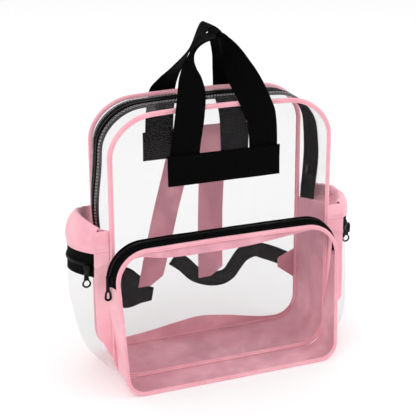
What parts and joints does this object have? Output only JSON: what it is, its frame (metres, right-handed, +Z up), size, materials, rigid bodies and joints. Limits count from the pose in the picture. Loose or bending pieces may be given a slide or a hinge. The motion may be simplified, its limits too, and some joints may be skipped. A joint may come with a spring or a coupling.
{
  "type": "clear stadium backpack",
  "caption": "Boxy clear vinyl backpack with cloth trim, an arched zip, a zipped front pocket, side pockets, twisted webbing handles and shoulder straps.",
  "frame": {"origin": "bottom centre of the whole backpack's bounding box, on the floor plane", "axes": "+X to the right seen from the front, +Y to the back that lies against the wearer, +Z up"},
  "size_m": [0.3984, 0.164, 0.4436],
  "materials": {
    "clear_vinyl": "clear glossy soft vinyl sheet",
    "pink_cloth": "plain woven polyester, matt",
    "black_tape": "woven zip tape",
    "black_webbing": "ribbed woven webbing",
    "black_metal": "black enamel"
  },
  "bodies": {
    "root": {"front_panel": "clear_vinyl", "back_panel": "clear_vinyl", "front_piping": "pink_cloth", "back_piping": "pink_cloth", "gusset_front_strip": "clear_vinyl", "gusset_back_strip": "clear_vinyl", "main_zip": "black_tape", "main_zip_slider": "black_metal", "main_zip_pull": "black_metal", "lower_gusset": "pink_cloth", "back_base_band": "pink_cloth", "pocket_face": "clear_vinyl", "pocket_piping": "pink_cloth", "pocket_zip": "black_tape", "pocket_zip_slider": "black_metal", "pocket_zip_pull": "black_metal", "pocket_gusset": "pink_cloth", "pocket_facing": "pink_cloth", "left_pocket_body": "clear_vinyl", "left_pocket_zip": "black_tape", "left_pocket_hood": "pink_cloth", "left_pocket_strip": "pink_cloth", "left_pocket_slider": "black_metal", "left_pocket_pull": "black_metal", "right_pocket_body": "clear_vinyl", "right_pocket_zip": "black_tape", "right_pocket_hood": "pink_cloth", "right_pocket_strip": "pink_cloth", "right_pocket_slider": "black_metal", "right_pocket_pull": "black_metal", "front_handle": "black_webbing", "back_handle": "black_webbing", "front_handle_patch": "black_webbing", "back_handle_patch": "black_webbing", "left_strap": "pink_cloth", "right_strap": "pink_cloth", "left_tab": "pink_cloth", "right_tab": "pink_cloth", "left_adjuster": "black_webbing", "right_adjuster": "black_webbing"}
  },
  "joints": []
}
